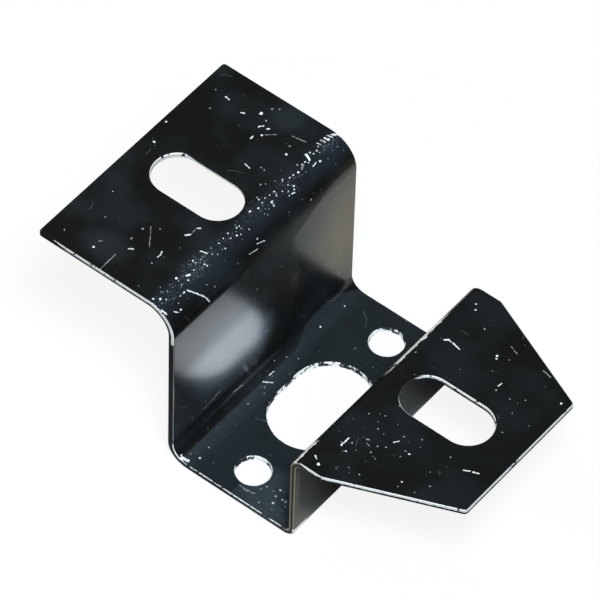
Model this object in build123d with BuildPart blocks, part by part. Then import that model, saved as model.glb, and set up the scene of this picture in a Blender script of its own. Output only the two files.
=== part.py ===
"""Stepped mounting bracket, one folded piece of sheet steel.

The strip runs along X: a slotted flange at the top, a vertical web, a base
with a racetrack hole between two round ones, a short vertical riser, and a
slotted tab that narrows towards its end.  Y runs across the strip and Z is up.
The origin is under the centre of the racetrack hole, level with the base's
underside, so the bracket stands on the plane z = 0.
"""

import os

from build123d import *

# Sheet, in millimetres
sheet = 1.2  # thickness
strip_width = 50.0  # across the flange, web, base and riser

# Folded strip
overall_height = 39.0  # base underside to the top of the flange
tab_height = 21.7  # base underside to the top of the tab
base_clear = 25.7  # between the web and the riser, the origin midway
flange_length = 28.75  # web's outer face to the end of the flange
tab_length = 28.75  # riser's outer face to the end of the tab

# Inside radii of the folds
crest_bend = 4.8  # flange to web
foot_bend = 3.0  # web to base
riser_bend = 1.0  # base to riser
tab_bend = 1.4  # riser to tab

# Outline of the tab and the corners of the blank
tab_end_width = 30.0
tab_shoulder = 5.4  # full-width stretch of the tab, from the riser's outer face
shoulder_radius = 1.5
tip_radius = 0.8
flange_corner_radius = 0.6

# Adjusting slots, punched with one tool
slot_length = 18.3  # end to end
slot_width = 9.5
flange_slot_land = 0.2  # flat left between the crest fold and the slot
tab_slot_land = 2.4  # flat left between the tab's fold and the slot

# Holes in the base, in line across the strip
racetrack_length = 20.8  # across the strip, end to end
racetrack_width = 15.3
bolt_hole_diameter = 6.4
bolt_hole_pitch = 37.3

# Edges, on both faces of the sheet
outline_round = 0.25  # radius along the strip's outline
rim_break = 0.15  # chamfer round each hole and slot

# Middle surface of the sheet
half_sheet = sheet / 2
web_x = -base_clear / 2 - half_sheet
riser_x = base_clear / 2 + half_sheet
flange_end_x = web_x - half_sheet - flange_length
tab_end_x = riser_x + half_sheet + tab_length
flange_mid_z = overall_height - half_sheet
tab_mid_z = tab_height - half_sheet

# Features of the flange and the tab, outward from their folds
crest_fold_end_x = -base_clear / 2 - crest_bend - sheet
tab_fold_end_x = base_clear / 2 + tab_bend + sheet
flange_slot_x = crest_fold_end_x - flange_slot_land - slot_length / 2
tab_slot_x = tab_fold_end_x + tab_slot_land + slot_length / 2
shoulder_x = riser_x + half_sheet + tab_shoulder

with BuildPart() as bracket:
    # The strip, drawn edge-on along its middle surface and given its thickness
    with BuildSketch(Plane.XZ):
        with BuildLine():
            FilletPolyline(
                (flange_end_x, flange_mid_z),
                (web_x, flange_mid_z),
                (web_x, half_sheet),
                (riser_x, half_sheet),
                (riser_x, tab_mid_z),
                (tab_end_x, tab_mid_z),
                radius=[bend + half_sheet for bend in (crest_bend, foot_bend, riser_bend, tab_bend)],
            )
        trace(line_width=sheet)
    extrude(amount=strip_width / 2, both=True)

    # The tab narrows from its shoulders to its end
    with BuildSketch(Plane.XY.offset(tab_height)):
        with BuildLine():
            Polyline(
                (shoulder_x, strip_width / 2),
                (tab_end_x, strip_width / 2),
                (tab_end_x, tab_end_width / 2),
                close=True,
            )
        make_face()
        mirror(about=Plane.XZ)
    extrude(amount=-sheet, mode=Mode.SUBTRACT)

    # Corners of the blank, then its edges: all but the fold lines and the seams at the corners
    upright_edges = bracket.edges().filter_by(Axis.Z).group_by(Axis.X)
    fillet(upright_edges[0], radius=flange_corner_radius)
    fillet(upright_edges[-2], radius=shoulder_radius)
    fillet(upright_edges[-1], radius=tip_radius)
    outline_edges = bracket.edges().filter_by(
        lambda edge: round(edge.length, 3) not in (strip_width, sheet)
    )
    fillet(outline_edges, radius=outline_round)

    # Adjusting slots along the strip, one in the flange and one in the tab
    for slot_x, face_z in ((flange_slot_x, overall_height), (tab_slot_x, tab_height)):
        with BuildSketch(Plane.XY.offset(face_z)):
            with Locations((slot_x, 0)):
                SlotOverall(slot_length, slot_width)
        extrude(amount=-sheet, mode=Mode.SUBTRACT)
        chamfer(bracket.edges(Select.LAST).filter_by(Axis.Z, reverse=True), length=rim_break)

    # Base: the racetrack hole across the strip and a bolt hole beyond each of its ends
    with BuildSketch(Plane.XY.offset(sheet)):
        SlotOverall(racetrack_length, racetrack_width, rotation=90)
        with GridLocations(0, bolt_hole_pitch, 1, 2):
            Circle(bolt_hole_diameter / 2)
    extrude(amount=-sheet, mode=Mode.SUBTRACT)
    chamfer(bracket.edges(Select.LAST).filter_by(Axis.Z, reverse=True), length=rim_break)

bracket.part.label = "bracket"

os.makedirs("parts", exist_ok=True)
export_step(bracket.part, "parts/bracket.step")
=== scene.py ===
import math

import bpy
from mathutils import Matrix, Vector


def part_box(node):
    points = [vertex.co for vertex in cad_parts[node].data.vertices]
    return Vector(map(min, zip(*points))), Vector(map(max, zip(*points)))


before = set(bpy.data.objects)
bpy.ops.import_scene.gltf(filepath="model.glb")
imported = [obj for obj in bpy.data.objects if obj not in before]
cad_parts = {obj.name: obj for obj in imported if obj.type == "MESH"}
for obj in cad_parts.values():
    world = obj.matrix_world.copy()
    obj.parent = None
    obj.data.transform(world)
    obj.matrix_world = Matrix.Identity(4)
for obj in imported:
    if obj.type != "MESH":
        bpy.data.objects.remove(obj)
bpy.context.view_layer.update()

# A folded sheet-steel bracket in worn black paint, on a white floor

# Bracket, in millimetres: +X runs from the flange to the tab, +Y across, +Z up from the floor
MM = 0.001
FLANGE_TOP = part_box("bracket")[1][2] / MM
TAB_TOP = 21.7
SHEET = 1.2
WEB_X, RISER_X = -12.85, 12.85  # faces of the web and the riser inside the channel
CREST_RADIUS, FOOT_RADIUS = 6.0, 3.0  # upper face of the folds at the web's top and foot
RISER_FOOT_RADIUS, TAB_FOLD_RADIUS = 1.0, 2.6
FACE_APART = 40.0  # sets the patterns of the sheet's two faces apart

# Where the sheet may stand upright, along X: the middle of the stretch and its reach both ways
FOLDS_X = (15.0, 5.5)  # on both sides of the origin, above the base
WEB_STRETCH_X = (-14.0, 4.9)
RISER_STRETCH_X = (13.6, 1.8)
RISER_OUTSIDE_X = (13.6, 13.8)

# Openings that show bare walls
BASE_HOLES_HALF_SIZE = (8.5, 22.4)
FLANGE_SLOT_X = (-37.9, -18.6)
FLANGE_SLOT_HALF_WIDTH = 5.75

# Stretches of the unfolded strip, in millimetres along it from the middle of the base
CREST = (-58.0, -51.5)
CREST_RIDGE = (-57.4, -53.6)
CREST_SCUFFS = (-57.2, -54.5)
CREST_NAVY = (-57.0, -51.5)
CREST_HAZE = (-58.0, -51.0)
WEB = (-49.0, -16.0)
GLOSSY_WEB = (-46.0, -18.0)
BASE = (-11.0, 11.0)
BARE_BASE = (-17.5, 12.5)
RISER = (13.0, 37.0)
DULL_RISER = (17.0, 34.0)
FLANGE_BARE_FADES_IN = (-79.5, -74.0)
WEB_BARE_FADES_OUT = (-43.0, -45.0)
TAB_BARE_FADES_IN = (36.0, 38.0)

# Rubbed folds, in millimetres along the strip, across it and up
TAB_FOLD_RUBBED_START = (33.2, 34.2)  # away from the near corner, and at it
TAB_FOLD_RUBBED_END = 35.4
TAB_FOLD_RUBBED_ACROSS = (1.0, 16.5)
RISER_FOOT_RUBBED_UP = (1.75, 2.3)

# Edges of the web's glossy near half and of its far side, in millimetres on the strip
GLOSS_FADES_ACROSS = (2.5, -1.5)
DULLNESS_GROWS_ACROSS = (-5.0, 2.0)
GLOSS_LEANS_ALONG = (-34.0, -42.0)
GLOSS_LEAN = 6.0  # how much sooner the gloss ends at the web's top
FAR_SIDE_CORNER = (-42.9, 7.3)  # (along, across)
FAR_SIDE_SLOPE = 2.2

# Soft ovals on the unfolded strip, in millimetres: (along, across) of the middle, then the reach both ways.
# The near side is where across is negative, and the far side is where it is positive.
CORNER_SPECKS = ((6.5, -21.0), (8.0, 6.0))
NEAR_FOOT_SPECKS = ((-12.0, -20.0), (5.0, 9.0))
MIDDLE_FOOT_SPECKS = ((-12.5, 0.0), (4.0, 12.0))
TAB_SPECKS = ((44.0, -12.0), (10.0, 15.0))
MIDDLE_CREST_SCUFF = ((-56.3, 2.2), (2.4, 5.5))
NEAR_CREST_SCUFF = ((-55.0, -20.0), (2.6, 4.0))
NEAR_CREST_STROKES = ((-55.8, -13.8), (3.2, 5.0))
FAR_CREST_STROKES = ((-56.2, 22.6), (1.8, 3.5))
CORNER_HAZE = ((7.0, -21.0), (11.0, 9.0))
FAR_FLANGE_HAZE = ((-65.0, 22.0), (5.0, 5.0))
NEAR_FLANGE_HAZE = ((-71.0, -20.0), (7.0, 5.0))
# The next three ovals are where a reflection of the floor is painted onto the web.
NEAR_WEB_REFLECTION_SPOT = ((-30.0, -11.0), (12.0, 11.0))
MIDDLE_WEB_REFLECTION_SPOT = ((-25.5, -3.5), (7.0, 7.5))
FAR_WEB_REFLECTION_SPOT = ((-32.0, 25.0), (20.0, 16.0))

# Bare metal on the cut walls: how far it reaches under the upper face, in millimetres
FLANGE_BARE = 0.56
TAB_BARE = 0.54
BASE_BARE = 0.17
BASE_HOLES_BARE = 1.4
FLANGE_SLOT_BARE = 1.5
FLANGE_SLOT_PAINTED = 0.62  # paint kept at the top of the slot's wall, near the crest

# Outlines of marks, in millimetres or as shares of a mark's width
SOFT_RIM = 0.04
SPECK_RAGGEDNESS = 0.22
SCRATCH_HALF, CHIP_HALF = 0.4, 0.45
FAR_AWAY = 99.0

# Paint, painted reflections and highlights, and metal: colours as light that they send back
WARM_BLACK = (0.0056, 0.0060, 0.0056, 1)
COOL_BLACK = (0.0072, 0.0086, 0.0094, 1)
# Blue-grey haze. On the web's foot and across the base, this colour is a painted soft highlight.
BLUE_GREY_HAZE_AND_HIGHLIGHT = (0.038, 0.052, 0.062, 1)
NAVY_CREST = (0.022, 0.028, 0.050, 1)
PALE_SCUFF = (0.42, 0.49, 0.60, 1)
# The next two colours are painted reflections of the white floor on the web.
BLUE_PAINTED_REFLECTION = (0.100, 0.140, 0.190, 1)
BROWN_PAINTED_REFLECTION = (0.140, 0.103, 0.042, 1)
# A painted reflection of the lit floor on the riser's outer face.
RISER_PAINTED_REFLECTION = (0.085, 0.074, 0.046, 1)
END_CORE = (0.022, 0.021, 0.017, 1)
END_FACE = (0.095, 0.085, 0.060, 1)
# Painted highlights along the edges of the riser's cut ends.
END_RIM_HIGHLIGHTS = (0.32, 0.29, 0.22, 1)
CHIPPED = (0.82, 0.84, 0.85, 1)
BARE_METAL = (0.88, 0.88, 0.86, 1)

# Shine of the paint
SHEEN = 0.088  # gloss of the plain painted faces
FAR_SHEEN_LOSS = 0.02
PAINT_ROUGHNESS = (0.2, 0.32)
WORN_ROUGHNESS = 0.6
WALL_ROUGHNESS = 0.85
METAL_SHARE = 0.3
PAINT_IOR = 1.25
GLOSS_IOR = 3.8
GLOSS_ROUGHNESS = 0.2
PEEL_HEIGHT, SWELL_HEIGHT = 0.006, 0.06  # unevenness of the paint, in millimetres

# Floor and surroundings
PAPER = (0.85, 0.85, 0.85, 1)
FLOOR_RADIUS = 0.075
FLOOR_MIDDLE = (-0.005, 0.005, -0.00005)
FLOOR_GLOW = 0.88
FLOOR_GLOW_IN_GLOSS = 0.1
WORLD_IN_GLOSS = 0.04
ROOM_LIGHT = 0.04

# Soft boxes: direction from the bracket, distance and side in metres, and power in watts
LAMPS = {
    "key": dict(direction=(0.33, -0.31, 0.85), distance=0.8, size=0.22, power=8.2, colour=(0.85, 0.94, 1.0)),
    "fill": dict(direction=(-1.0, 0.1, 0.9), distance=0.8, size=0.3, power=1.7, colour=(1.0, 0.88, 0.68)),
}

# Camera: a long lens that looks down on the tab from its own side
CAMERA_AZIMUTH = 37.38
CAMERA_ELEVATION = 50.5
CAMERA_ROLL = 1.84
CAMERA_DISTANCE = 1.065
CAMERA_LENS_MM = 364.5
CAMERA_SENSOR_MM = 36.0
CAMERA_CLIP_END = 10.0
LOOKED_AT = Vector((-13.38, 10.59, 10.0)) * MM

# Marks on the upper face, in millimetres on the unfolded strip, from the middle of the base. A scratch is
# given by its (along, across) points and its width, and a chip by its (along, across, width).
BRIGHT_SCRATCHES = (
    # flange
    (((-76.5, 19.0), (-75.6, 18.9)), 0.25),
    (((-72.1, 17.9), (-71.6, 18.1)), 0.3),
    (((-67.7, 17.3), (-67.2, 18.0)), 0.35),
    (((-66.3, 17.8), (-66.0, 18.2)), 0.3),
    (((-67.1, 14.3), (-67.1, 14.9)), 0.3),
    (((-64.2, 9.2), (-63.0, 9.0)), 0.25),
    (((-67.4, -18.3), (-66.7, -17.7)), 0.25),
    (((-62.5, -16.6), (-62.3, -16.0), (-62.6, -15.2)), 0.25),
    (((-61.9, -9.8), (-61.3, -9.1)), 0.35),
    (((-61.3, -7.3), (-60.9, -6.9)), 0.3),
    # crest
    (((-56.9, 24.0), (-55.9, 24.9)), 0.45),
    (((-57.6, 20.9), (-56.9, 21.0)), 0.25),
    (((-57.6, 21.8), (-56.6, 22.0)), 0.25),
    (((-57.4, 22.6), (-56.5, 22.8)), 0.3),
    (((-57.3, 23.4), (-56.3, 23.7)), 0.25),
    (((-49.2, -3.9), (-48.7, -1.8)), 0.2),
    (((-49.9, -1.5), (-49.0, 0.3)), 0.2),
    (((-57.4, 17.6), (-56.1, 17.2)), 0.55),
    (((-54.5, 16.8), (-54.7, 17.7)), 0.35),
    (((-53.2, 9.9), (-52.9, 10.5)), 0.3),
    (((-57.7, -10.8), (-56.3, -10.4)), 0.25),
    (((-55.9, -16.4), (-55.6, -15.9)), 0.5),
    (((-53.4, -18.3), (-51.9, -17.5), (-50.9, -17.0), (-48.8, -15.9), (-47.0, -15.3)), 0.3),
    (((-54.0, -24.6), (-52.5, -24.3)), 0.45),
    (((-51.8, -22.9), (-50.7, -22.1)), 0.25),
    # foot and base
    (((-12.8, -24.6), (-11.3, -24.2)), 0.7),
    (((-12.6, -0.5), (-12.5, 0.5)), 0.25),
    (((-12.4, -2.4), (-10.9, -1.3)), 0.25),
    # tab
    (((38.8, 11.9), (39.4, 12.4), (40.6, 12.2), (42.1, 11.9)), 0.32),
    (((39.5, -17.5), (39.6, -15.4)), 0.3),
    (((46.0, -11.3), (46.5, -10.5)), 0.25),
    (((52.2, 9.7), (52.3, 10.6)), 0.22),
    (((58.8, -8.4), (59.8, -7.9)), 0.25),
    (((60.3, -7.7), (61.2, -7.3)), 0.3),
    (((37.5, -22.0), (38.1, -22.3)), 0.3),
)
BRIGHT_CHIPS = (
    # flange
    (-80.8, 8.0, 0.4),
    (-79.4, 3.1, 0.4),
    (-77.7, -10.1, 0.35),
    (-69.3, 20.0, 0.7),
    (-67.6, 19.2, 0.3),
    (-66.1, 16.1, 0.5),
    (-60.1, 15.4, 0.5),
    (-72.2, -21.8, 0.5),
    # crest
    (-57.0, 20.4, 0.3),
    (-56.5, 19.6, 0.4),
    (-55.8, 19.7, 0.25),
    (-57.2, 18.4, 0.35),
    (-56.5, 18.7, 0.25),
    (-55.8, 16.6, 0.25),
    (-56.4, 16.3, 0.4),
    (-56.5, 15.4, 0.35),
    (-56.1, 12.7, 0.35),
    (-56.2, 11.8, 0.3),
    (-56.7, 10.3, 0.25),
    (-55.3, 10.5, 0.3),
    (-53.3, 9.3, 0.3),
    (-55.1, 8.8, 0.3),
    (-56.3, 7.6, 0.35),
    (-55.3, 7.3, 0.25),
    (-56.4, 6.5, 0.3),
    (-56.6, 5.5, 0.25),
    (-57.3, 4.5, 0.35),
    (-56.3, 4.4, 0.25),
    (-53.4, 3.5, 0.25),
    (-53.9, -1.2, 0.3),
    (-54.4, -3.1, 0.25),
    (-55.3, -5.1, 0.3),
    (-56.4, -6.1, 0.35),
    (-56.2, -7.4, 0.3),
    (-57.4, -10.8, 0.25),
    (-55.0, -12.4, 0.3),
    (-57.3, -13.3, 0.35),
    (-56.6, -13.3, 0.3),
    (-55.7, -14.6, 0.3),
    (-55.1, -22.5, 0.3),
    (-55.8, 13.8, 0.5),
    (-54.2, 11.2, 0.4),
    (-54.0, 5.6, 0.4),
    (-54.8, -3.8, 0.45),
    (-56.5, -4.7, 0.35),
    (-50.8, -1.0, 0.45),
    (-54.9, -16.8, 0.4),
    (-57.1, -24.1, 0.45),
    (-50.9, -21.5, 0.45),
    # foot and base
    (-13.2, -24.3, 0.45),
    (-10.1, -22.5, 0.5),
    (7.5, -19.0, 0.4),
    (9.1, -20.4, 0.4),
    (-12.1, 20.3, 0.3),
    (-12.5, 13.7, 0.35),
    # tab
    (38.1, 21.7, 0.35),
    (38.9, 20.6, 0.35),
    (48.0, 14.9, 0.45),
    (48.3, 14.3, 0.4),
    (40.9, -18.0, 0.4),
    (49.6, -11.6, 0.4),
    (52.3, -17.1, 0.35),
    (62.8, 13.6, 0.45),
    (39.1, -23.1, 0.65),
)
FAINT_SCRATCHES = (
    (((-68.2, -24.8), (-68.3, -20.7)), 0.2),
    (((-65.0, -15.6), (-67.6, -12.0)), 0.15),
    (((-61.3, -9.1), (-61.3, -7.3)), 0.15),
    (((-61.9, 19.4), (-59.3, 19.8)), 0.2),
    (((-65.7, 16.6), (-64.2, 17.9)), 0.2),
    (((-56.3, 15.7), (-55.8, 14.7)), 0.35),
    (((-18.9, -16.6), (-19.6, -12.2)), 0.35),
    (((-15.9, -8.6), (-15.5, -6.2)), 0.25),
    (((-24.2, 0.1), (-24.1, 0.9)), 0.3),
    (((-1.2, -22.2), (3.3, -22.9)), 0.18),
    (((2.8, -22.6), (4.5, -22.5)), 0.2),
    (((48.5, 18.1), (50.3, 17.4)), 0.2),
    (((56.1, 17.4), (58.0, 17.0)), 0.2),
    (((42.0, -13.7), (42.5, -13.5)), 0.3),
)
FAINT_CHIPS = (
    (-75.0, -15.4, 0.35),
    (-68.4, -13.3, 0.4),
    (-59.2, 7.3, 0.4),
    (-76.9, 15.2, 0.35),
    (-68.5, 22.0, 0.4),
    (-67.5, 22.7, 0.4),
    (-60.8, 17.3, 0.4),
    (-78.5, -22.0, 0.4),
    (-72.3, -20.1, 0.35),
    (-68.5, -16.2, 0.45),
    (-57.1, 14.8, 0.4),
    (-48.6, 12.7, 0.4),
    (-55.6, 7.6, 0.4),
    (-57.8, 4.6, 0.4),
    (-49.2, -13.2, 0.4),
    (4.7, -20.9, 0.4),
    (6.3, -23.4, 0.35),
    (-12.9, 4.5, 0.4),
    (-10.8, 5.8, 0.35),
    (38.9, -9.1, 0.35),
    (41.9, -4.4, 0.35),
    (42.7, 18.3, 0.35),
    (43.1, -14.5, 0.35),
    (44.3, -15.4, 0.35),
    (48.6, -11.5, 0.35),
    (49.3, -7.7, 0.35),
    (58.9, 2.2, 0.35),
    (56.5, -14.8, 0.35),
)


class Nodes:
    """Adds nodes to one tree; each call takes sockets or plain values and gives back the node's output."""

    def __init__(self, tree):
        self.tree = tree

    def add(self, kind, inputs=None, **settings):
        node = self.tree.nodes.new(kind)
        for name, value in settings.items():
            setattr(node, name, value)
        for name, value in (inputs or {}).items():
            self.feed(node.inputs[name], value)
        return node

    def feed(self, socket, value):
        if isinstance(value, bpy.types.NodeSocket):
            self.tree.links.new(value, socket)
        else:
            socket.default_value = value

    def math(self, operation, *values, clamp=False):
        node = self.add("ShaderNodeMath", dict(enumerate(values)), operation=operation, use_clamp=clamp)
        return node.outputs[0]

    def plus(self, first, second):
        return self.math("ADD", first, second)

    def minus(self, first, second):
        return self.math("SUBTRACT", first, second)

    def times(self, first, *others):
        for other in others:
            first = self.math("MULTIPLY", first, other)
        return first

    def line(self, value, slope, start):
        """The value times the slope, plus the start."""
        return self.math("MULTIPLY_ADD", value, slope, start)

    def without(self, whole, share):
        """What the share leaves of the whole, from 0 to 1."""
        return self.math("SUBTRACT", whole, share, clamp=True)

    def away(self, value, middle=0.0):
        """How far the value is from the middle, on either side."""
        return self.math("ABSOLUTE", self.minus(value, middle) if middle else value)

    def largest(self, first, *others):
        for other in others:
            first = self.math("MAXIMUM", first, other)
        return first

    def smallest(self, first, *others):
        for other in others:
            first = self.math("MINIMUM", first, other)
        return first

    def vector(self, operation, *values):
        node = self.add("ShaderNodeVectorMath", dict(enumerate(values)), operation=operation)
        return node.outputs["Value" if operation in ("LENGTH", "DOT_PRODUCT", "DISTANCE") else "Vector"]

    def length(self, x, y, z=0.0):
        return self.vector("LENGTH", self.join(x, y, z))

    def stretch(self, vector, factors):
        return self.vector("MULTIPLY", vector, factors)

    def scale(self, vector, factor):
        node = self.add("ShaderNodeVectorMath", {0: vector, "Scale": factor}, operation="SCALE")
        return node.outputs["Vector"]

    def split(self, vector):
        return self.add("ShaderNodeSeparateXYZ", {0: vector}).outputs

    def join(self, x, y, z):
        return self.add("ShaderNodeCombineXYZ", {0: x, 1: y, 2: z}).outputs[0]

    def step(self, value, start, end, low=0.0, high=1.0):
        """From low to high as the value goes from start to end, easing in and out."""
        inputs = {"Value": value, "From Min": start, "From Max": end, "To Min": low, "To Max": high}
        return self.add("ShaderNodeMapRange", inputs, interpolation_type="SMOOTHSTEP").outputs[0]

    def band(self, value, low, high, ease):
        """1 where the value lies from low to high, easing out over that much at both ends."""
        from_low = self.step(value, low - ease, low + ease)
        return self.times(from_low, self.step(value, high + ease, high - ease))

    def within(self, value, reach, ease):
        """1 where the value is no further than the reach from 0, easing out over that much."""
        return self.step(self.away(value), reach + ease, reach - ease)

    def spot(self, strip, centre, reach):
        """A soft oval from 1 at its middle to 0 at its reach along and across the strip."""
        offset = self.vector("SUBTRACT", strip, (*centre, 0.0))
        along, across, _ = self.split(self.vector("DIVIDE", offset, (*reach, 1.0)))
        return self.step(self.length(along, across), 1.0, 0.25)

    def noise(self, place, size, detail=2.0, roughness=0.5):
        """Cloudy noise from 0 to 1 whose patches are about size across."""
        inputs = {"Vector": place, "Scale": 1.0 / size, "Detail": detail, "Roughness": roughness}
        return self.add("ShaderNodeTexNoise", inputs).outputs["Fac"]

    def noise_colour(self, place, scale, detail):
        inputs = {"Vector": place, "Scale": scale, "Detail": detail}
        return self.add("ShaderNodeTexNoise", inputs).outputs["Color"]

    def cells(self, place, scale):
        """Scattered cells: three random values for each one, the distance to its middle, and its place."""
        cell = self.add("ShaderNodeTexVoronoi", {"Vector": place, "Scale": scale}).outputs
        random = self.add("ShaderNodeSeparateColor", {0: cell["Color"]}).outputs
        return random, cell["Distance"], cell["Position"]

    def mix(self, share, first, second):
        """From the first colour to the second."""
        first_colour, second_colour, mixed_colour = 6, 7, 2  # this node's sockets share their names
        inputs = {"Factor": share, first_colour: first, second_colour: second}
        return self.add("ShaderNodeMix", inputs, data_type="RGBA").outputs[mixed_colour]

    def blend(self, share, first, second):
        """From the first value to the second."""
        first_value, second_value, blended_value = 2, 3, 0
        inputs = {"Factor": share, first_value: first, second_value: second}
        return self.add("ShaderNodeMix", inputs, data_type="FLOAT").outputs[blended_value]

    def group(self, tree, **inputs):
        node = self.add("ShaderNodeGroup")
        node.node_tree = tree
        for name, value in inputs.items():
            self.feed(node.inputs[name], value)
        return node.outputs


def new_group(name, inputs, outputs):
    """An empty node group: its tree, a Nodes helper, its input sockets, and a call that sets an output."""
    tree = bpy.data.node_groups.new(name, "ShaderNodeTree")
    kinds = {"vector": "NodeSocketVector", "float": "NodeSocketFloat"}
    for socket, kind in inputs.items():
        tree.interface.new_socket(socket, in_out="INPUT", socket_type=kinds[kind])
    for socket, kind in outputs.items():
        tree.interface.new_socket(socket, in_out="OUTPUT", socket_type=kinds[kind])
    n = Nodes(tree)
    given = n.add("NodeGroupInput").outputs
    result = n.add("NodeGroupOutput").inputs

    def give(socket, value):
        n.feed(result[socket], value)

    return tree, n, given, give


def unfolded_group():
    """Place on the unfolded strip: x along it, y across it, and z apart for the two faces of the sheet."""
    tree, n, given, give = new_group(
        "unfolded_strip", {"Place": "vector", "Normal": "vector"}, {"Strip": "vector"}
    )
    x, y, z = n.split(given["Place"])
    side = n.math("SIGN", x)
    along = n.line(z, side, x)
    normal_x, _, normal_z = n.split(given["Normal"])
    face = n.math("SIGN", n.line(n.times(normal_x, side), -1.0, normal_z))
    give("Strip", n.join(along, y, n.times(face, FACE_APART)))
    return tree


def depth_group():
    """How deep a place lies under the sheet's upper face, in millimetres, through all four folds."""
    tree, n, given, give = new_group("sheet_depth", {"Place": "vector"}, {"Depth": "float"})
    x, _, z = n.split(given["Place"])

    def reach(centre_x, side, centre_z, over):
        """Distance from a fold's centre line, counted only on the fold's own side of it."""
        out_x = n.largest(n.times(n.minus(x, centre_x), side), 0.0)
        out_z = n.largest(n.times(n.minus(z, centre_z), over), 0.0)
        return n.length(out_x, out_z)

    crest = reach(WEB_X - CREST_RADIUS, 1.0, FLANGE_TOP - CREST_RADIUS, 1.0)
    foot = reach(WEB_X + FOOT_RADIUS, -1.0, SHEET + FOOT_RADIUS, -1.0)
    riser_foot = reach(RISER_X - RISER_FOOT_RADIUS, 1.0, SHEET + RISER_FOOT_RADIUS, -1.0)
    tab_fold = reach(RISER_X + TAB_FOLD_RADIUS, -1.0, TAB_TOP - TAB_FOLD_RADIUS, 1.0)
    high_up = n.math("GREATER_THAN", z, TAB_TOP / 2)
    web_side = n.blend(high_up, n.minus(foot, FOOT_RADIUS), n.minus(CREST_RADIUS, crest))
    riser_side = n.blend(high_up, n.minus(riser_foot, RISER_FOOT_RADIUS), n.minus(TAB_FOLD_RADIUS, tab_fold))
    give("Depth", n.blend(n.math("GREATER_THAN", x, 0.0), web_side, riser_side))
    return tree


def specks_group():
    """Small irregular dots: Spacing and Size in millimetres, Share of the cells that hold one."""
    tree, n, given, give = new_group(
        "specks",
        {"Place": "vector", "Spacing": "float", "Size": "float", "Share": "float"},
        {"Mask": "float", "Value": "float"},
    )
    ragged = n.noise_colour(given["Place"], scale=3.5, detail=1.0)
    place = n.vector("MULTIPLY_ADD", ragged, (SPECK_RAGGEDNESS,) * 3, given["Place"])
    random, distance, _ = n.cells(place, n.math("DIVIDE", 1.0, given["Spacing"]))
    chance, breadth, value = random
    present = n.math("LESS_THAN", chance, given["Share"])
    radius = n.line(given["Size"], 0.25, n.times(given["Size"], n.math("POWER", breadth, 2.0)))
    reach = n.times(distance, given["Spacing"])
    inside = n.step(n.minus(reach, radius), SOFT_RIM, -SOFT_RIM)
    give("Mask", n.times(present, inside))
    give("Value", value)
    return tree


def hairlines_group():
    """Short fine scratches at any angle: Spacing, Length and Width in millimetres."""
    tree, n, given, give = new_group(
        "hairlines",
        {"Place": "vector", "Spacing": "float", "Length": "float", "Width": "float", "Share": "float"},
        {"Mask": "float"},
    )
    wander = n.noise_colour(given["Place"], scale=0.5, detail=1.0)
    place = n.vector("MULTIPLY_ADD", wander, (1.2, 1.2, 0.0), given["Place"])
    scaled = n.scale(place, n.math("DIVIDE", 1.0, given["Spacing"]))
    random, _, middle = n.cells(scaled, 1.0)
    chance, angle, extent = random
    offset = n.scale(n.vector("SUBTRACT", scaled, middle), given["Spacing"])
    turn = {"Vector": offset, "Angle": n.times(angle, math.tau)}
    turned = n.add("ShaderNodeVectorRotate", turn, rotation_type="Z_AXIS").outputs[0]
    lengthwise, sideways, _ = n.split(turned)
    half = n.times(given["Length"], 0.5, extent)
    past_end = n.largest(n.minus(n.away(lengthwise), half), 0.0)
    reach = n.length(past_end, sideways)
    hairline = n.step(reach, given["Width"], n.times(given["Width"], 0.3))
    give("Mask", n.times(n.math("LESS_THAN", chance, given["Share"]), hairline))
    return tree


def scratch_group():
    """Adds one straight scratch. A trail is x, y and the signed distance from the nearest mark so far."""
    tree, n, given, give = new_group(
        "scratch",
        {"Trail": "vector", "Start": "vector", "Span": "vector", "Width": "float"},
        {"Trail": "vector"},
    )
    x, y, nearest = n.split(given["Trail"])
    offset = n.vector("SUBTRACT", n.join(x, y, 0.0), given["Start"])
    ahead = n.vector("DOT_PRODUCT", offset, given["Span"])
    whole = n.vector("DOT_PRODUCT", given["Span"], given["Span"])
    share = n.math("DIVIDE", ahead, whole, clamp=True)
    reach = n.vector("LENGTH", n.vector("SUBTRACT", offset, n.scale(given["Span"], share)))
    distance = n.line(given["Width"], -SCRATCH_HALF, reach)
    give("Trail", n.join(x, y, n.smallest(nearest, distance)))
    return tree


def chip_group():
    """Adds one round chip to a trail."""
    tree, n, given, give = new_group(
        "chip", {"Trail": "vector", "Centre": "vector", "Width": "float"}, {"Trail": "vector"}
    )
    x, y, nearest = n.split(given["Trail"])
    reach = n.vector("DISTANCE", n.join(x, y, 0.0), given["Centre"])
    distance = n.line(given["Width"], -CHIP_HALF, reach)
    give("Trail", n.join(x, y, n.smallest(nearest, distance)))
    return tree


UNFOLDED = unfolded_group()
SHEET_DEPTH = depth_group()
SPECKS = specks_group()
HAIRLINES = hairlines_group()
SCRATCH = scratch_group()
CHIP = chip_group()


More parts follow.
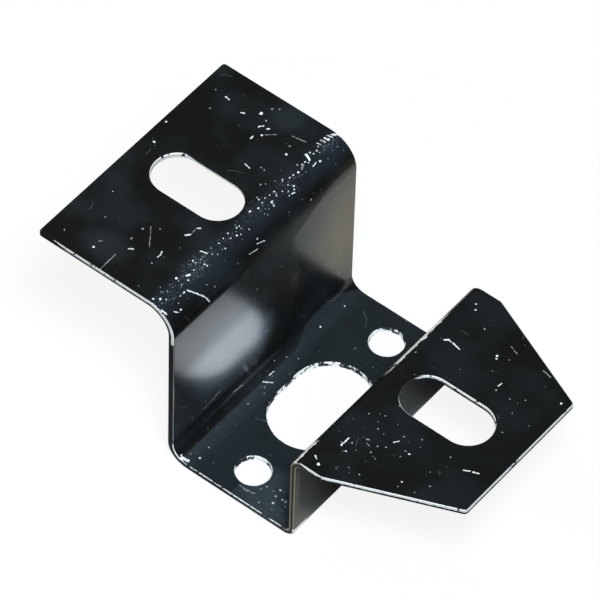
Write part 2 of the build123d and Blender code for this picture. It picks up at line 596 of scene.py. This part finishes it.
class Surface:
    """Where a point of the sheet lies: in the bracket, on the unfolded strip and under the upper face."""

    def __init__(self, n):
        coordinates = n.add("ShaderNodeTexCoord").outputs
        self.place = n.scale(coordinates["Object"], 1 / MM)
        self.x, _, self.z = n.split(self.place)
        self.strip = n.group(UNFOLDED, Place=self.place, Normal=coordinates["Normal"])["Strip"]
        self.along, self.across, _ = n.split(self.strip)
        self.depth = n.group(SHEET_DEPTH, Place=self.place)["Depth"]
        self.upper = n.step(self.depth, 0.25, 0.1)
        self.squareness = self.face_squareness(n, coordinates["Normal"])
        self.wall = n.step(self.squareness, 0.9, 0.5)
        self.riser_outside = n.step(self.x, *RISER_OUTSIDE_X)

    def face_squareness(self, n, normal):
        """How squarely the surface faces out of the sheet: 1 on its two faces, 0 on a cut wall."""
        normal_x, _, normal_z = n.split(normal)
        (folds_x, folds_reach), (web_x, web_reach) = FOLDS_X, WEB_STRETCH_X
        riser_x, riser_reach = RISER_STRETCH_X
        near_folds = n.within(n.minus(n.away(self.x), folds_x), folds_reach, ease=0.1)
        folds = n.times(n.step(self.z, SHEET + 0.02, SHEET + 0.1), near_folds)
        web = n.math("LESS_THAN", n.away(self.x, web_x), web_reach)
        riser = n.math("LESS_THAN", n.away(self.x, riser_x), riser_reach)
        upright = n.largest(folds, web, riser)
        return n.blend(upright, n.away(normal_z), n.length(normal_x, 0.0, normal_z))


def bare_stretch(n, at):
    """Where the bare metal starts and ends on the cut walls, in millimetres under the upper face."""
    on_flange = n.times(n.step(at.along, *FLANGE_BARE_FADES_IN), n.step(at.along, *WEB_BARE_FADES_OUT))
    flange = n.times(on_flange, FLANGE_BARE)
    tab = n.times(n.step(at.along, *TAB_BARE_FADES_IN), TAB_BARE)
    base = n.times(n.band(at.along, *BARE_BASE, ease=0.5), BASE_BARE)
    half_length, half_width = BASE_HOLES_HALF_SIZE
    near_holes = n.times(n.within(at.x, half_length, ease=0.1), n.within(at.across, half_width, ease=0.2))
    base_holes = n.times(near_holes, n.step(at.z, 2.0, 1.5), BASE_HOLES_BARE)
    slot_width = n.within(at.across, FLANGE_SLOT_HALF_WIDTH, ease=0.25)
    flange_slot = n.times(slot_width, n.band(at.x, *FLANGE_SLOT_X, ease=0.1))
    start = n.times(flange_slot, n.step(at.x, -35.0, -32.0, 0.0, FLANGE_SLOT_PAINTED))
    end = n.largest(flange, tab, base, base_holes, n.times(flange_slot, FLANGE_SLOT_BARE))
    return start, end


def bare_walls(n, at):
    """Bare metal on the cut walls, with a ragged lower rim and gaps of paint, wider near the floor."""
    start, end = bare_stretch(n, at)
    ragged = n.times(n.minus(n.noise(at.place, 0.9, detail=2.0, roughness=0.6), 0.5), 0.45)
    above_end = n.step(n.minus(at.depth, n.plus(end, ragged)), SOFT_RIM, -SOFT_RIM)
    below_start = n.step(n.minus(at.depth, start), -0.02, 0.03)
    painted = n.step(at.z, 3.0, 2.0, 0.36, 0.46)
    between_gaps = n.step(n.minus(n.noise(at.place, 2.4, detail=3.0, roughness=0.7), painted), 0.0, 0.06)
    on_wall = n.step(at.squareness, 0.93, 0.8)
    return n.times(above_end, n.step(end, 0.05, 0.1), below_start, between_gaps, on_wall)


def rubbed_folds(n, at):
    """Ragged lines of metal along the tab's fold and at the riser's foot."""
    wander = n.noise(at.strip, 1.6, detail=3.0, roughness=0.65)
    rubbed_at = n.line(wander, 2.4, n.minus(at.along, 1.2))
    line_start = n.step(at.across, -17.5, -19.5, *TAB_FOLD_RUBBED_START)
    past_start = n.step(n.minus(rubbed_at, line_start), 0.0, 0.2)
    on_line = n.times(past_start, n.step(rubbed_at, TAB_FOLD_RUBBED_END, TAB_FOLD_RUBBED_END - 0.2))
    between_gaps = n.step(n.noise(at.strip, 2.6, detail=3.0, roughness=0.7), 0.4, 0.46)
    far_part = n.times(n.band(at.across, *TAB_FOLD_RUBBED_ACROSS, ease=2.0), between_gaps)
    near_corner = n.step(at.across, -18.5, -20.0)
    tab_fold = n.times(on_line, n.largest(near_corner, far_part), at.upper)
    low = n.band(at.z, *RISER_FOOT_RUBBED_UP, ease=0.1)
    riser_foot = n.times(low, n.step(at.across, -20.5, -22.5), at.riser_outside)
    return n.largest(tab_fold, riser_foot)


def nearest_mark(n, x, y, scratches, chips):
    """Signed distance from the nearest listed scratch or chip, found one mark after another."""
    trail = n.join(x, y, FAR_AWAY)
    for points, width in scratches:
        for start, end in zip(points, points[1:]):
            span = (end[0] - start[0], end[1] - start[1], 0.0)
            trail = n.group(SCRATCH, Trail=trail, Start=(*start, 0.0), Span=span, Width=width)["Trail"]
    for along, across, width in chips:
        trail = n.group(CHIP, Trail=trail, Centre=(along, across, 0.0), Width=width)["Trail"]
    return n.split(trail)[2]


def listed_marks(n, at):
    """The listed scratches and chips, with wandering and flaked outlines. The faint ones show at a third."""
    jitter = n.vector("SUBTRACT", n.noise_colour(at.strip, scale=2.2, detail=2.0), (0.5, 0.5, 0.5))
    x, y, _ = n.split(n.vector("MULTIPLY_ADD", jitter, (0.4, 0.4, 0.0), at.strip))
    flaked = n.line(n.noise(at.strip, 0.4, detail=2.0, roughness=0.6), 0.3, -0.14)
    bright = n.step(n.plus(nearest_mark(n, x, y, BRIGHT_SCRATCHES, BRIGHT_CHIPS), flaked), 0.05, -0.05)
    faint = n.step(n.plus(nearest_mark(n, x, y, FAINT_SCRATCHES, FAINT_CHIPS), flaked), 0.05, -0.05)
    return n.times(n.largest(bright, n.times(faint, 0.35)), at.upper)


def fine_specks(n, at):
    """Fine specks everywhere, thicker on the crest, the foot and the tab's near part."""
    near_corner = n.spot(at.strip, *CORNER_SPECKS)
    busy = n.largest(
        n.times(n.band(at.along, *CREST, ease=1.2), 0.9),
        n.spot(at.strip, *NEAR_FOOT_SPECKS),
        near_corner,
        n.spot(at.strip, *MIDDLE_FOOT_SPECKS),
        n.spot(at.strip, *TAB_SPECKS),
        n.step(n.noise(at.strip, 14.0), 0.5, 0.75, 0.12, 0.5),
    )
    size = n.line(near_corner, 0.12, 0.13)
    specks = n.group(SPECKS, Place=at.strip, Spacing=0.75, Size=size, Share=n.times(busy, 0.42))
    return n.times(specks["Mask"], n.step(specks["Value"], 0.0, 1.0, 0.15, 0.8))


def crest_chips(n, at):
    """Clusters of small chips along the crest's ridge."""
    clusters = n.times(n.step(n.noise(at.strip, 3.5), 0.42, 0.56), n.band(at.along, *CREST_RIDGE, ease=0.9))
    chips = n.group(SPECKS, Place=at.strip, Spacing=0.85, Size=0.26, Share=n.times(clusters, 0.7))["Mask"]
    return n.times(chips, 0.9)


def all_marks(n, at):
    """Every scratch, chip, speck and hairline on the upper face."""
    hairs = n.group(HAIRLINES, Place=at.strip, Spacing=8.0, Length=4.0, Width=0.05, Share=0.3)["Mask"]
    scattered = n.largest(fine_specks(n, at), crest_chips(n, at), n.times(hairs, 0.12))
    return n.largest(listed_marks(n, at), n.times(scattered, at.upper))


def crest_scuffs(n, at):
    """Fine lines rubbed along the crest, and short strokes across it."""
    thin_lines = n.noise(n.stretch(at.strip, (4.0, 0.55, 1.0)), 0.7, detail=3.0, roughness=0.7)
    thin_strokes = n.noise(n.stretch(at.strip, (1.0, 4.0, 1.0)), 0.8, detail=3.0, roughness=0.7)
    patchy_ridge = n.times(
        n.band(at.along, *CREST_SCUFFS, ease=0.8),
        n.step(n.noise(at.strip, 5.0), 0.4, 0.65, 0.1, 0.55),
    )
    rubbed = n.largest(
        n.times(n.spot(at.strip, *MIDDLE_CREST_SCUFF), 0.7),
        n.spot(at.strip, *NEAR_CREST_SCUFF),
        patchy_ridge,
    )
    hatched = n.largest(n.spot(at.strip, *NEAR_CREST_STROKES), n.spot(at.strip, *FAR_CREST_STROKES))
    lines = n.times(n.step(thin_lines, 0.56, 0.74), rubbed)
    strokes = n.times(n.step(thin_strokes, 0.54, 0.72), hatched)
    return n.largest(lines, strokes)


def haze_and_foot_highlight(n, at):
    """A streaky blue-grey tone: a painted soft highlight on the web's foot that widens across the base, and
    haze on the base's near corner and parts of the flange and the tab.
    """
    foot_edge = n.step(n.away(at.across, 16.0), 10.0, 2.0, -12.8, -16.6)
    # painted soft highlight along the web's foot
    foot = n.times(n.step(n.minus(at.along, foot_edge), -0.2, 0.5), n.step(at.along, -6.0, -12.0))
    clouds = n.step(n.noise(at.strip, 12.0, detail=3.0), 0.4, 0.7)
    thickest = n.largest(
        n.times(foot, n.step(at.across, 12.0, -2.0, 0.42, 0.62)),
        n.times(n.band(at.along, *BASE, ease=1.0), 0.3),
        n.spot(at.strip, *CORNER_HAZE),
        n.times(n.spot(at.strip, *FAR_FLANGE_HAZE), 0.35),
        n.times(n.spot(at.strip, *NEAR_FLANGE_HAZE), 0.3),
        n.times(clouds, n.step(at.along, 20.0, 30.0, 0.2, 0.1)),
        n.times(n.band(at.along, *CREST_HAZE, ease=1.5), 0.12),
    )
    streaks = n.noise(n.stretch(at.strip, (0.5, 1.6, 1.0)), 1.5, detail=3.0)
    return n.times(thickest, n.step(streaks, 0.35, 0.65, 0.8, 1.0))


def painted_colour(n, at, scuffs):
    """Black paint with its haze and painted foot highlight, the crest's navy cast and its scuffs."""
    clouds = n.step(n.noise(at.strip, 12.0, detail=3.0), 0.4, 0.75)
    hazy_and_highlit = n.mix(haze_and_foot_highlight(n, at), n.mix(clouds, WARM_BLACK, COOL_BLACK), BLUE_GREY_HAZE_AND_HIGHLIGHT)
    navy_clouds = n.step(n.noise(at.strip, 9.0), 0.35, 0.65, 0.10, 0.38)
    navy = n.mix(n.times(n.band(at.along, *CREST_NAVY, ease=1.8), navy_clouds), hazy_and_highlit, NAVY_CREST)
    return n.mix(n.times(scuffs, at.upper, 0.8), navy, PALE_SCUFF)


def web_reflections_painted(n, at, paint):
    """The paint with painted reflections of the white floor: blue on the web's near half, brown on its far
    upper part.
    """
    # a painted reflection of the lit floor, blue, on the web's near half
    near_reflection = n.largest(n.spot(at.strip, *NEAR_WEB_REFLECTION_SPOT), n.spot(at.strip, *MIDDLE_WEB_REFLECTION_SPOT))
    blue = n.mix(n.times(near_reflection, at.upper), paint, BLUE_PAINTED_REFLECTION)
    clouds = n.step(n.noise(at.strip, 6.0, detail=3.0), 0.3, 0.6, 0.75, 1.0)
    slanted_end = n.step(n.line(at.across, -1.22, at.along), -43.0, -50.0)
    # a painted reflection of the shaded floor, brown, on the web's far upper part
    far_reflection = n.times(n.spot(at.strip, *FAR_WEB_REFLECTION_SPOT), clouds, slanted_end, 0.85)
    return n.mix(n.times(far_reflection, at.upper), blue, BROWN_PAINTED_REFLECTION)


def riser_reflection_painted(n, at, paint):
    """A painted brown reflection of the lit floor, low on the riser's outer face and by its near rim."""
    # painted reflection of the floor near the riser's foot
    foot = n.times(at.riser_outside, n.step(n.line(at.z, 0.7, at.across), -16.5, -21.0), 0.9)
    rim_reflection = n.times(at.riser_outside, n.step(at.across, -23.5, -24.0), n.step(at.z, 19.0, 17.0), 0.5)
    return n.mix(n.largest(foot, rim_reflection), paint, RISER_PAINTED_REFLECTION)


def riser_end_colour(n, at, paint):
    """The riser's cut ends: a dark core between two pale rims, which are painted highlights along the end's
    two edges.
    """
    rim_highlights = n.largest(n.step(at.depth, 0.42, 0.25), n.step(at.depth, 0.92, 1.05))
    face = n.mix(n.step(n.away(at.depth, 0.65), 0.0, 0.35), END_CORE, END_FACE)
    face = n.mix(n.times(rim_highlights, 0.75), face, END_RIM_HIGHLIGHTS)
    on_end = n.times(at.wall, n.band(at.along, *RISER, ease=1.0))
    return n.mix(n.times(on_end, 0.95), paint, face)


def near_half_gloss(n, at, reach):
    """Full gloss on the web's near half, less towards its top and its lower corner."""
    low_part = n.step(at.along, -36.5, -31.0, 0.54, 1.0)
    past_corner = n.line(n.plus(at.along, 31.0), -0.5, at.across)
    return n.times(
        n.step(reach, *GLOSS_FADES_ACROSS),
        n.band(at.along, *GLOSSY_WEB, ease=1.0),
        low_part,
        n.step(past_corner, -21.5, -16.5, 0.8, 1.0),
    )


def gloss_and_dullness(n, at, worn):
    """Gloss of the painted faces, and how dull the web's middle and the riser's outer face have become."""
    reach = n.plus(at.across, n.step(at.along, *GLOSS_LEANS_ALONG, 0.0, GLOSS_LEAN))
    on_web = n.band(at.along, *WEB, ease=1.5)
    corner_along, corner_across = FAR_SIDE_CORNER
    past_middle = n.minus(at.across, corner_across)
    past_slant = n.line(n.minus(at.along, corner_along), FAR_SIDE_SLOPE, past_middle)
    far_side = n.times(n.step(n.smallest(past_slant, past_middle), -1.0, 2.0), on_web)
    dull_middle = n.times(n.step(reach, *DULLNESS_GROWS_ACROSS), n.minus(1.0, far_side), on_web)
    dull_riser = n.times(n.band(at.along, *DULL_RISER, ease=2.0), at.riser_outside)
    dull = n.largest(dull_middle, dull_riser)
    sheen = n.times(n.without(1.0, dull), n.line(far_side, -FAR_SHEEN_LOSS, SHEEN))
    gloss = n.largest(sheen, near_half_gloss(n, at, reach))
    return n.times(gloss, n.without(at.upper, at.wall), n.without(1.0, worn)), dull


def roughness(n, at, rubbed, dull, worn):
    low, high = PAINT_ROUGHNESS
    paint = n.blend(n.noise(at.strip, 7.0, detail=4.0, roughness=0.6), low, high)
    faces = n.blend(n.largest(rubbed, n.times(dull, 0.55)), paint, WORN_ROUGHNESS)
    return n.blend(n.times(at.wall, n.minus(1.0, worn)), faces, WALL_ROUGHNESS)


def uneven_normal(n, at):
    """The paint's fine orange peel and the sheet's slow swell."""
    peel = n.times(n.noise(at.place, 0.7), PEEL_HEIGHT)
    swell = n.times(n.noise(at.place, 11.0, detail=1.0), SWELL_HEIGHT)
    inputs = {"Strength": 1.0, "Distance": MM, "Height": n.plus(peel, swell)}
    return n.add("ShaderNodeBump", inputs).outputs[0]


def new_material(name):
    material = bpy.data.materials.new(name)
    material.use_nodes = True
    material.node_tree.nodes.clear()
    return material, Nodes(material.node_tree)


def black_paint():
    """Semi-gloss black paint over steel, scuffed along the folds and worn to the metal at the cut edges."""
    material, n = new_material("black_paint")
    at = Surface(n)
    worn = n.largest(bare_walls(n, at), rubbed_folds(n, at))
    marks = all_marks(n, at)
    scuffs = crest_scuffs(n, at)
    gloss, dull = gloss_and_dullness(n, at, worn)

    # painted reflections of the floor on the web
    colour = web_reflections_painted(n, at, painted_colour(n, at, scuffs))
    # a painted reflection of the floor on the riser's outer face, and painted highlights on its cut ends
    colour = riser_end_colour(n, at, riser_reflection_painted(n, at, colour))
    colour = n.mix(worn, n.mix(marks, colour, CHIPPED), BARE_METAL)
    finish = {
        "Base Color": colour,
        "Roughness": roughness(n, at, n.largest(scuffs, marks, worn), dull, worn),
        "Metallic": n.times(worn, METAL_SHARE),
        "IOR": PAINT_IOR,
        "Coat Weight": gloss,
        "Coat Roughness": GLOSS_ROUGHNESS,
        "Coat IOR": GLOSS_IOR,
        "Normal": uneven_normal(n, at),
    }
    shader = n.add("ShaderNodeBsdfPrincipled", finish).outputs[0]
    n.add("ShaderNodeOutputMaterial", {"Surface": shader})
    return material


def white_floor():
    """White paper that takes the bracket's shadow, is a full white to the camera and is clear from below."""
    material, n = new_material("white_floor")
    path = n.add("ShaderNodeLightPath").outputs
    mirrored = n.largest(path["Is Glossy Ray"], path["Is Transmission Ray"])
    share = n.line(mirrored, FLOOR_GLOW_IN_GLOSS, n.times(path["Is Camera Ray"], FLOOR_GLOW))
    paper = n.add("ShaderNodeBsdfDiffuse", {"Color": PAPER}).outputs[0]
    glow = n.add("ShaderNodeEmission", {"Strength": 1.0}).outputs[0]
    glowing_paper = n.add("ShaderNodeMixShader", {0: share, 1: paper, 2: glow}).outputs[0]
    from_below = n.add("ShaderNodeNewGeometry").outputs["Backfacing"]
    clear = n.add("ShaderNodeBsdfTransparent").outputs[0]
    surface = n.add("ShaderNodeMixShader", {0: from_below, 1: glowing_paper, 2: clear}).outputs[0]
    n.add("ShaderNodeOutputMaterial", {"Surface": surface})
    return material


def add_floor():
    """A round sheet of paper: past its rim the world is as white, and the gloss mirrors nothing bright."""
    bpy.ops.object.select_all(action="DESELECT")
    bpy.ops.mesh.primitive_circle_add(
        vertices=128, radius=FLOOR_RADIUS, fill_type="NGON", location=FLOOR_MIDDLE
    )
    floor = bpy.context.object
    floor.name = "floor"
    floor.data.materials.append(white_floor())


def add_lamp(name, direction, distance, size, power, colour):
    """A square soft box that faces the bracket from that direction."""
    lamp = bpy.data.lights.new(name, "AREA")
    lamp.size = size
    lamp.energy = power
    lamp.color = colour
    holder = bpy.data.objects.new(name, lamp)
    bpy.context.scene.collection.objects.link(holder)
    place = Vector(direction).normalized() * distance
    holder.location = place
    holder.rotation_euler = (-place).to_track_quat("-Z", "Y").to_euler()


def add_world():
    """Dim room light, with a full white behind the object for the camera."""
    world = bpy.data.worlds.new("studio")
    world.use_nodes = True
    world.node_tree.nodes.clear()
    n = Nodes(world.node_tree)
    path = n.add("ShaderNodeLightPath").outputs
    mirrored = n.largest(path["Is Glossy Ray"], path["Is Transmission Ray"])
    strength = n.largest(path["Is Camera Ray"], n.times(mirrored, WORLD_IN_GLOSS), ROOM_LIGHT)
    background = n.add("ShaderNodeBackground", {"Color": (1, 1, 1, 1), "Strength": strength}).outputs[0]
    n.add("ShaderNodeOutputWorld", {"Surface": background})
    bpy.context.scene.world = world


def add_camera():
    azimuth, elevation, roll = (math.radians(a) for a in (CAMERA_AZIMUTH, CAMERA_ELEVATION, CAMERA_ROLL))
    camera = bpy.data.cameras.new("camera")
    camera.sensor_width = CAMERA_SENSOR_MM
    camera.lens = CAMERA_LENS_MM
    camera.clip_end = CAMERA_CLIP_END
    holder = bpy.data.objects.new("camera", camera)
    bpy.context.scene.collection.objects.link(holder)
    turn = (
        Matrix.Rotation(azimuth, 4, "Z")
        @ Matrix.Rotation(math.pi / 2 - elevation, 4, "X")
        @ Matrix.Rotation(roll, 4, "Z")
    )
    holder.matrix_world = Matrix.Translation(LOOKED_AT) @ turn @ Matrix.Translation((0, 0, CAMERA_DISTANCE))
    bpy.context.scene.camera = holder


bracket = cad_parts["bracket"]
bracket.data.materials[0] = black_paint()
add_floor()
add_world()
for name, settings in LAMPS.items():
    add_lamp(name, **settings)
add_camera()
bpy.context.scene.view_settings.view_transform = "Standard"
